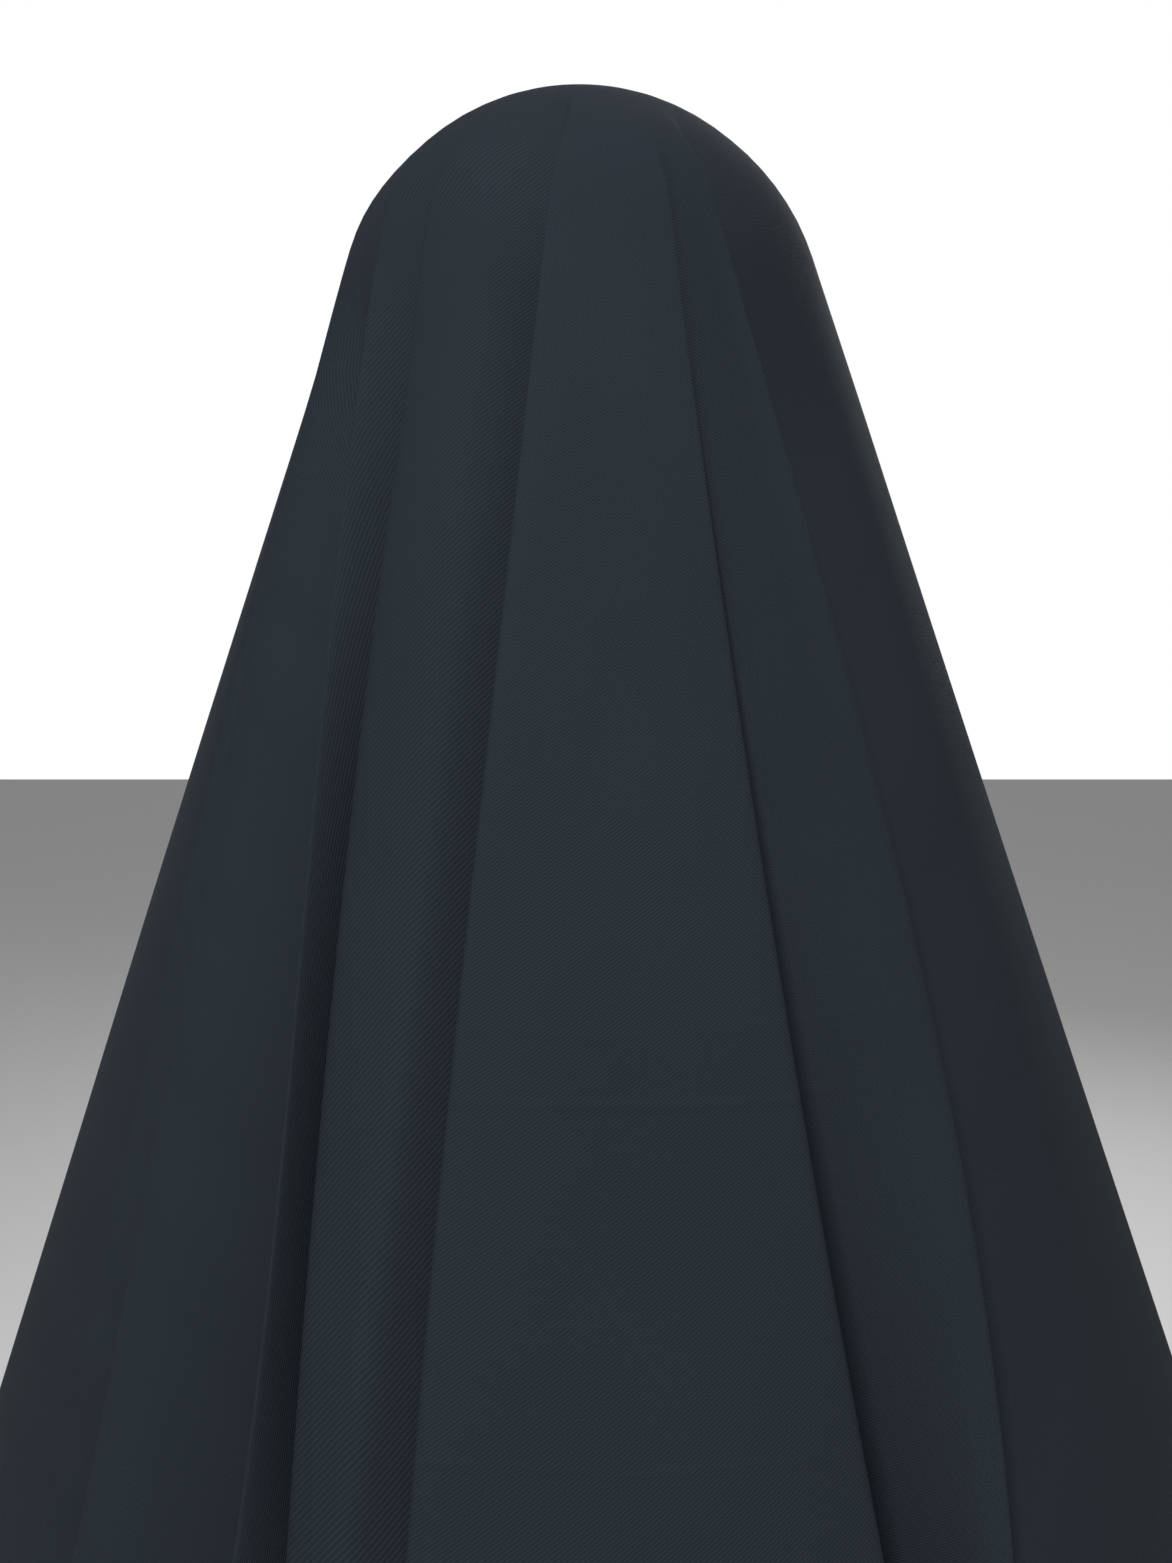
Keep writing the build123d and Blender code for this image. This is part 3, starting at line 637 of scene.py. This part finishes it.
zinc = plain_material("zinc_plate", (0.52, 0.52, 0.50), 0.36, metallic=1.0, grain=900.0, bump_depth=0.00003)
cork = plain_material("cork", (0.42, 0.27, 0.15), 0.82, grain=260.0, bump_depth=0.0006, spread=0.45)


def brushed_steel(name, colour, roughness):
    """Drawn steel tube: fine scratches that run along its length."""
    material, tree, shader = new_material(name)
    coordinates = tree.nodes.new("ShaderNodeTexCoord")
    stretch = add_node(tree, "ShaderNodeMapping")
    stretch.inputs["Scale"].default_value = (1, 1, 0.02)
    tree.links.new(coordinates.outputs["Object"], stretch.inputs[0])
    scratch = add_node(tree, "ShaderNodeTexNoise", Scale=2600.0, Detail=3.0)
    tree.links.new(stretch.outputs[0], scratch.inputs["Vector"])
    darker = tuple(c * 0.85 for c in colour) + (1,)
    tree.links.new(blend_colours(tree, scratch.outputs[0], darker, colour + (1,)), shader.inputs["Base Color"])
    rough = calculate(tree, "MULTIPLY_ADD", scratch.outputs[0], 0.16, roughness - 0.08)
    tree.links.new(rough, shader.inputs["Roughness"])
    bump = add_node(tree, "ShaderNodeBump", Strength=0.2, Distance=0.00004)
    tree.links.new(scratch.outputs[0], bump.inputs["Height"])
    tree.links.new(bump.outputs[0], shader.inputs["Normal"])
    shader.inputs["Metallic"].default_value = 1.0
    return material


def canvas_material(name, dark, light, pitch):
    """Plain-weave cotton canvas, its threads laid out on the piece's own flat map."""
    material, tree, shader = new_material(name)
    uv = tree.nodes.new("ShaderNodeUVMap")
    uv.uv_map = WEAVE_MAP
    split = tree.nodes.new("ShaderNodeSeparateXYZ")
    tree.links.new(uv.outputs[0], split.inputs[0])
    waves = [
        calculate(tree, "SINE", calculate(tree, "MULTIPLY", axis, 2 * math.pi / pitch))
        for axis in (split.outputs[0], split.outputs[1])
    ]
    weave = calculate(tree, "MULTIPLY_ADD", calculate(tree, "MULTIPLY", *waves), 0.5, 0.5)
    slub = add_node(tree, "ShaderNodeTexNoise", Scale=180.0, Detail=4.0)
    tree.links.new(uv.outputs[0], slub.inputs["Vector"])
    shade = calculate(tree, "MULTIPLY_ADD", slub.outputs[0], 0.5, calculate(tree, "MULTIPLY", weave, 0.5))
    tree.links.new(blend_colours(tree, shade, dark, light), shader.inputs["Base Color"])
    tree.links.new(calculate(tree, "MULTIPLY_ADD", slub.outputs[0], 0.1, 0.85), shader.inputs["Roughness"])
    bump = add_node(tree, "ShaderNodeBump", Strength=0.5, Distance=0.0002)
    tree.links.new(weave, bump.inputs["Height"])
    tree.links.new(bump.outputs[0], shader.inputs["Normal"])
    return material


tube_steel = brushed_steel("tube_steel", (0.56, 0.56, 0.57), 0.30)
head_canvas = canvas_material("head_canvas", (0.50, 0.44, 0.33, 1), (0.72, 0.66, 0.53, 1), 0.0013)

# ================= Pieces =================


def finish_piece(item, material, slot, body, *nodes):
    """Give a piece its material and body, and hide the CAD nodes it stands for. The slot argument is not used.
    """
    item.data.materials.append(material)
    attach(item, body)
    if nodes:
        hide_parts(*nodes)
    return item


def unit(vectors):
    """Vectors scaled to length 1."""
    return vectors / np.maximum(np.linalg.norm(vectors, axis=-1, keepdims=True), 1e-12)


def make_stitches(name, path, normals, pitch, closed=True):
    """A row of short thread stitches laid along a path of points on the cloth."""
    if closed:
        path, normals = np.concatenate([path, path[:1]]), np.concatenate([normals, normals[:1]])
    along = np.concatenate([[0], np.cumsum(np.linalg.norm(np.diff(path, axis=0), axis=1))])
    count = int(along[-1] / pitch)
    middles = (np.arange(count) + 0.5) * along[-1] / count
    reach = pitch * STITCH_SHARE
    sides = 6
    sections = ((-1.0, 0.35, -0.6), (-0.55, 0.9, 0.35), (0.0, 1.0, 0.6), (0.55, 0.9, 0.35), (1.0, 0.35, -0.6))
    corners = np.arange(sides) * 2 * math.pi / sides
    rings = []
    for share, size, lift in sections:
        places = middles + share * reach
        centre = np.stack([np.interp(places, along, path[:, k]) for k in range(3)], axis=1)
        ahead = np.stack([np.interp(places + 0.0003, along, path[:, k]) for k in range(3)], axis=1)
        up = unit(np.stack([np.interp(places, along, normals[:, k]) for k in range(3)], axis=1))
        side = unit(np.cross(ahead - centre, up))
        ring = centre[:, None] + up[:, None] * THREAD_RADIUS * lift
        ring = ring + size * THREAD_RADIUS * np.cos(corners)[None, :, None] * side[:, None]
        rings.append(ring + size * THREAD_RADIUS * 0.8 * np.sin(corners)[None, :, None] * up[:, None])
    points = np.stack(rings, axis=1).reshape(-1, 3)
    faces = []
    stitch = sides * len(sections)
    for start in range(0, count * stitch, stitch):
        for first in range(start, start + stitch - sides, sides):
            for corner in range(sides):
                low, high = first + corner, first + (corner + 1) % sides
                faces.append((low, high, high + sides, low + sides))
        faces.append(tuple(range(start + sides - 1, start - 1, -1)))
        faces.append(tuple(range(start + stitch - sides, start + stitch)))
    return new_mesh(name, points, faces)


def edge_row(inset):
    """Points and outward normals on the cloth at a distance in from its edge, all the way round."""
    heading = ring_headings[0] + np.arange(EDGE_SAMPLES) * 360 / EDGE_SAMPLES
    arc = edge_arc(heading) - inset
    normal = cloth_normal(arc, heading)
    return cloth_point(arc, heading) + normal * CLOTH_THICKNESS / 2, normal


def on_back(right, up, out):
    """Points from distances along the back panel's right, up and outward directions."""
    right, up, out = np.broadcast_arrays(right, up, out)
    return BAND_MIDDLE + right[..., None] * BACK_RIGHT + up[..., None] * BACK_UP + out[..., None] * BACK_OUT


def band_wave(right, up):
    """The soft rise and fall of the band off its plane."""
    return 0.0005 * np.sin(right * 42 + 0.8) * np.cos(up * 33)


def band_centreline(count):
    """The band's middle line, tab, arch, tab: distance along, way out from the arch, drop below the arch."""
    straight = TAB_LENGTH + ARC_CENTRE
    arch = math.pi * BAND_RADIUS
    along = np.linspace(0, 2 * straight + arch, count)
    turn = np.clip((along - straight) / BAND_RADIUS, 0, math.pi)
    below = np.maximum(straight - along, 0) + np.maximum(along - straight - arch, 0)
    return along, -np.cos(turn), np.sin(turn), below


def strip_faces(rows, columns):
    """Faces of a closed strip whose points are its upper grid and then its lower one."""
    index = np.arange(rows * columns).reshape(rows, columns)
    under = index + rows * columns
    faces = list(np.stack([index[:-1, :-1], index[:-1, 1:], index[1:, 1:], index[1:, :-1]], -1).reshape(-1, 4))
    faces += list(np.stack([under[:-1, :-1], under[1:, :-1], under[1:, 1:], under[:-1, 1:]], -1).reshape(-1, 4))
    rim = list(index[:, 0]) + list(index[-1, 1:]) + list(index[-2::-1, -1]) + list(index[0, -2:0:-1])
    faces += [(i, j, j + rows * columns, i + rows * columns) for i, j in zip(rim, rim[1:] + rim[:1])]
    return faces


def make_neckband():
    """The neckband and its two tabs: two plies of twill with turned, stitched edges."""
    along, right, up, below = band_centreline(260)
    side = np.linspace(-1, 1, 17)
    end_round = np.minimum(1, np.sqrt(np.clip(np.minimum(along, along[-1] - along) / 0.0012, 0.02, 1)))
    puff = 1 - np.abs(side) ** 10 * 0.55 - 0.28 * np.exp(-(((np.abs(side) - 0.80) / 0.05) ** 2))
    half = BAND_HALF_THICKNESS * puff[None, :] * end_round[:, None]
    reach = BAND_RADIUS + side[None, :] * BAND_WIDTH / 2
    x = right[:, None] * reach
    y = up[:, None] * reach + ARC_CENTRE - below[:, None]
    wave = band_wave(x, y)
    upper, lower = on_back(x, y, wave + half), on_back(x, y, wave - half)
    points = np.concatenate([upper.reshape(-1, 3), lower.reshape(-1, 3)])
    band = new_mesh("cape_neckband", points, strip_faces(len(along), len(side)))
    flat = np.stack([side[None, :] * BAND_WIDTH / 2 + 0 * x, along[:, None] + 0 * x], axis=-1).reshape(-1, 2)
    set_weave_uv(band.data, np.concatenate([flat, flat]))
    return band


def band_row(side):
    """Points and normals of a stitch row along the band, side being -1 at its inner edge and 1 at its outer."""
    along, right, up, below = band_centreline(400)
    keep = (along > 0.004) & (along < along[-1] - 0.004)
    reach = BAND_RADIUS + side * BAND_WIDTH / 2
    x, y = right * reach, up * reach + ARC_CENTRE - below
    points = on_back(x, y, band_wave(x, y) + BAND_HALF_THICKNESS * 0.72)[keep]
    return points, np.broadcast_to(BACK_OUT, points.shape)


def make_ribbon(name, path, across, out, half_width, half_thickness):
    """A narrow woven ribbon along a path, with slightly thicker woven edges."""
    side = np.linspace(-1, 1, 7)
    half = half_thickness * (1 + 0.25 * (np.abs(side) > 0.6) - 0.5 * (np.abs(side) > 0.95))
    centre = path[:, None] + side[None, :, None] * half_width * across
    points = np.concatenate([
        (centre + half[None, :, None] * out[:, None]).reshape(-1, 3),
        (centre - half[None, :, None] * out[:, None]).reshape(-1, 3),
    ])
    ribbon_piece = new_mesh(name, points, strip_faces(len(path), len(side)))
    along = np.concatenate([[0], np.cumsum(np.linalg.norm(np.diff(path, axis=0), axis=1))])
    flat = np.stack(np.broadcast_arrays(side[None, :] * half_width, along[:, None]), axis=-1).reshape(-1, 2)
    set_weave_uv(ribbon_piece.data, np.concatenate([flat, flat]))
    return ribbon_piece


def make_hang_loop():
    """The hanging loop: a ribbon arch standing on edge at the top of the band, its feet sewn flat."""
    radius = (loop_high[0] - loop_low[0]) / 2 - 0.0007
    turn = np.linspace(0, math.pi, 33)
    spread = np.cos(turn)[:, None] * BACK_RIGHT + np.sin(turn)[:, None] * BACK_UP
    path = LOOP_MIDDLE - BACK_UP * radius / 2 + spread * radius
    return make_ribbon("cape_hang_loop", path, BACK_OUT, unit(spread), LOOP_HALF_WIDTH, LOOP_HALF_THICKNESS)


def make_care_label():
    """The blank satin care label, its lower edge lifting a little."""
    up = np.linspace(-1, 1, 15)
    lift = LABEL_LIFT * (1 - up) ** 2 / 2
    path = LABEL_MIDDLE + up[:, None] * LABEL_HALF_HEIGHT * BACK_UP + lift[:, None] * BACK_OUT
    slope = np.gradient(path, axis=0)
    out = unit(np.cross(slope, BACK_RIGHT))
    out = out * np.sign(np.sum(out * BACK_OUT, axis=1, keepdims=True))
    return make_ribbon("cape_care_label", path, BACK_RIGHT, out, LABEL_HALF_WIDTH, LABEL_HALF_THICKNESS)


def label_row():
    """The stitch row that holds the label's upper edge."""
    start = LABEL_MIDDLE + BACK_UP * LABEL_SEAM_RISE + BACK_OUT * 0.0003
    points = start + np.linspace(-LABEL_SEAM_HALF_WIDTH, LABEL_SEAM_HALF_WIDTH, 30)[:, None] * BACK_RIGHT
    return points, np.broadcast_to(BACK_OUT, points.shape)


def make_head_canvas():
    """The block head's canvas cover: gores joined by raised felled seams, with a turned hem at the base."""
    angles = np.linspace(math.radians(2), math.pi / 2, 40)
    profile = [(HEAD_RADIUS * math.sin(a), HEAD_CENTRE + HEAD_RADIUS * math.cos(a)) for a in angles]
    drop = HEAD_CENTRE - HEAD_BASE
    for share in np.linspace(0, 1, 40)[1:]:
        narrowing = HEAD_WAIST * smooth_step(0, 1, share) + (HEAD_TAPER - HEAD_WAIST) * share**2.2
        profile.append((HEAD_RADIUS - narrowing, HEAD_CENTRE - share * drop))
    radii, heights = np.array(profile).T
    count = HEAD_COLUMNS
    azimuth = np.arange(count) * 2 * math.pi / count
    gore = 2 * math.pi / HEAD_GORES
    to_seam = np.abs((azimuth / gore + 0.5) % 1 - 0.5) * gore
    seam = SEAM_RAISE * (1 - smooth_step(*SEAM_EDGES, to_seam[None, :] * radii[:, None]))
    hem_top = HEAD_BASE + TURNED_HEM_TOP
    turned = TURNED_HEM_RAISE * smooth_step(hem_top, hem_top - 0.001, heights)[:, None]
    skins = []
    for inset in (0.0004, HEAD_CANVAS_THICKNESS):
        raised = seam + turned - TURNED_HEM_RAISE
        reach = radii[:, None] - inset + raised + 0 * azimuth
        level = heights[:, None] + 0 * reach
        skins.append(np.stack([reach * np.sin(azimuth), -reach * np.cos(azimuth), level], -1))
    rows = len(radii)
    top = HEAD_TOP - 0.0004
    poles = [[0, 0, top], [0, 0, top - HEAD_CANVAS_THICKNESS]]
    points = np.concatenate([skins[0].reshape(-1, 3), skins[1].reshape(-1, 3), poles])
    index = np.arange(rows * count).reshape(rows, count)
    after = np.roll(index, -1, axis=1)
    quads = np.stack([index[:-1], index[1:], after[1:], after[:-1]], -1).reshape(-1, 4)
    faces = list(quads) + list(quads[:, ::-1] + rows * count)
    inner = index + rows * count
    faces += [(i, k, m, j) for i, j, k, m in zip(index[-1], after[-1], inner[-1], np.roll(inner[-1], -1))]
    pole = 2 * rows * count
    faces += [(pole, i, j) for i, j in zip(index[0], after[0])]
    faces += [(pole + 1, j + rows * count, i + rows * count) for i, j in zip(index[0], after[0])]
    cover = new_mesh("head_canvas_cover", points, faces)
    length = np.concatenate([[0], np.cumsum(np.hypot(np.diff(radii), np.diff(heights)))])
    flat = np.stack([azimuth[None, :] * HEAD_RADIUS + 0 * length[:, None], length[:, None] + 0 * azimuth], -1)
    flat = flat.reshape(-1, 2)
    set_weave_uv(cover.data, np.concatenate([flat, flat, [[0, 0], [0, 0]]]))
    return cover


SLOT_FINISHES = {
    "snap_metal": snap_steel,
    "core": cork,
    "nylon": nylon,
    "black_paint": powder_coat,
    "chrome": tube_steel,
    "zinc_steel": zinc,
    "black_plastic": moulded,
    "rubber": rubber,
}

for entry in frame["record"]["subparts"]:
    for material_slot in frame["nodes"][entry["node"]].material_slots:
        material_slot.material = SLOT_FINISHES.get(entry["material_slot"], material_slot.material)

finish_piece(make_head_canvas(), head_canvas, "canvas", "head", "head_cover")

cape_cloth = finish_piece(make_cloth(), cape_twill, "cape_twill", "cape", "cape_panel")
hem_row = make_stitches("cape_hem_stitching", *edge_row(HEM_STITCH_INSET), HEM_STITCH_PITCH)
hem_stitching = finish_piece(hem_row, thread, "cape_twill", "cape")
finish_piece(make_neckband(), cape_band_twill, "band_twill", "cape", "neckband")
for number, side in enumerate((-BAND_STITCH_ROW, BAND_STITCH_ROW), start=1):
    row = make_stitches(f"neckband_stitching_{number}", *band_row(side), BAND_STITCH_PITCH, closed=False)
    finish_piece(row, thread, "band_twill", "cape")
finish_piece(make_hang_loop(), ribbon, "band_twill", "cape", "hang_loop")
finish_piece(make_care_label(), label_satin, "label_satin", "cape", "care_label")
label_seam = make_stitches("care_label_stitching", *label_row(), LABEL_STITCH_PITCH, closed=False)
finish_piece(label_seam, thread, "label_satin", "cape")

# ================= Stage =================


def make_floor():
    """A plain pale floor."""
    side = FLOOR_HALF_SIDE
    corners = [(-side, -side, 0), (side, -side, 0), (side, side, 0), (-side, side, 0)]
    floor = new_mesh("floor", corners, [(0, 1, 2, 3)])
    floor.data.materials.append(plain_material("floor_pale", (0.72, 0.72, 0.72), 0.8, grain=20.0, spread=0.01))


def make_light(name, place, target, size, power):
    """A square soft box aimed at a point."""
    data = bpy.data.lights.new(name, "AREA")
    data.shape = "SQUARE"
    data.size = size
    data.energy = power
    light = bpy.data.objects.new(name, data)
    bpy.context.collection.objects.link(light)
    light.location = place
    aim = np.array(target) - np.array(place)
    light.rotation_euler = (
        math.atan2(math.hypot(aim[0], aim[1]), -aim[2]),
        0,
        math.atan2(aim[1], aim[0]) - math.pi / 2,
    )


def make_world(behind, above, around):
    """A studio surround: white behind the drape and overhead, dimmer at the sides and in front."""
    world = bpy.data.worlds.new("studio")
    world.use_nodes = True
    tree = world.node_tree
    coordinates = tree.nodes.new("ShaderNodeTexCoord")
    split = tree.nodes.new("ShaderNodeSeparateXYZ")
    tree.links.new(coordinates.outputs["Generated"], split.inputs[0])
    terms = []
    for axis, low, high, top in (("Y", 0.72, 0.83, behind - around), ("Z", 0.55, 0.95, above - around)):
        ramp = add_node(tree, "ShaderNodeMapRange", interpolation_type="SMOOTHSTEP")
        tree.links.new(split.outputs[axis], ramp.inputs["Value"])
        ramp.inputs["From Min"].default_value = low
        ramp.inputs["From Max"].default_value = high
        ramp.inputs["To Max"].default_value = top
        terms.append(ramp.outputs[0])
    brightness = calculate(tree, "ADD", calculate(tree, "MAXIMUM", *terms), around)
    tree.links.new(brightness, tree.nodes["Background"].inputs["Strength"])
    tree.nodes["Background"].inputs["Color"].default_value = (1, 1, 1, 1)
    bpy.context.scene.world = world


def make_camera():
    """The photograph's view: close, a little above the middle of the cloth in view, tipped down."""
    data = bpy.data.cameras.new("camera")
    data.sensor_fit = "AUTO"
    data.sensor_width = SENSOR_WIDTH
    data.lens = LENS
    data.clip_start = 0.01
    camera = bpy.data.objects.new("camera", data)
    bpy.context.collection.objects.link(camera)
    camera.location = (CAMERA_RIGHT, -CAMERA_DISTANCE * math.cos(CAMERA_PITCH), HEAD_TOP - CAMERA_BELOW_TOP)
    camera.rotation_euler = (math.pi / 2 + CAMERA_PITCH, 0, 0)
    bpy.context.scene.camera = camera


make_floor()
make_world(1.0, 0.43, 0.05)
make_light("key", (-0.34, -1.43, 2.00), (0, 0, 0.80), 0.45, 55)
make_light("fill", (1.7, -0.4, 1.2), (0, 0, 0.75), 1.2, 5)
make_light("back", (0.9, 1.8, 1.9), (0, 0, 0.75), 1.2, 16)
bpy.context.scene.view_settings.view_transform = "Standard"
make_camera()
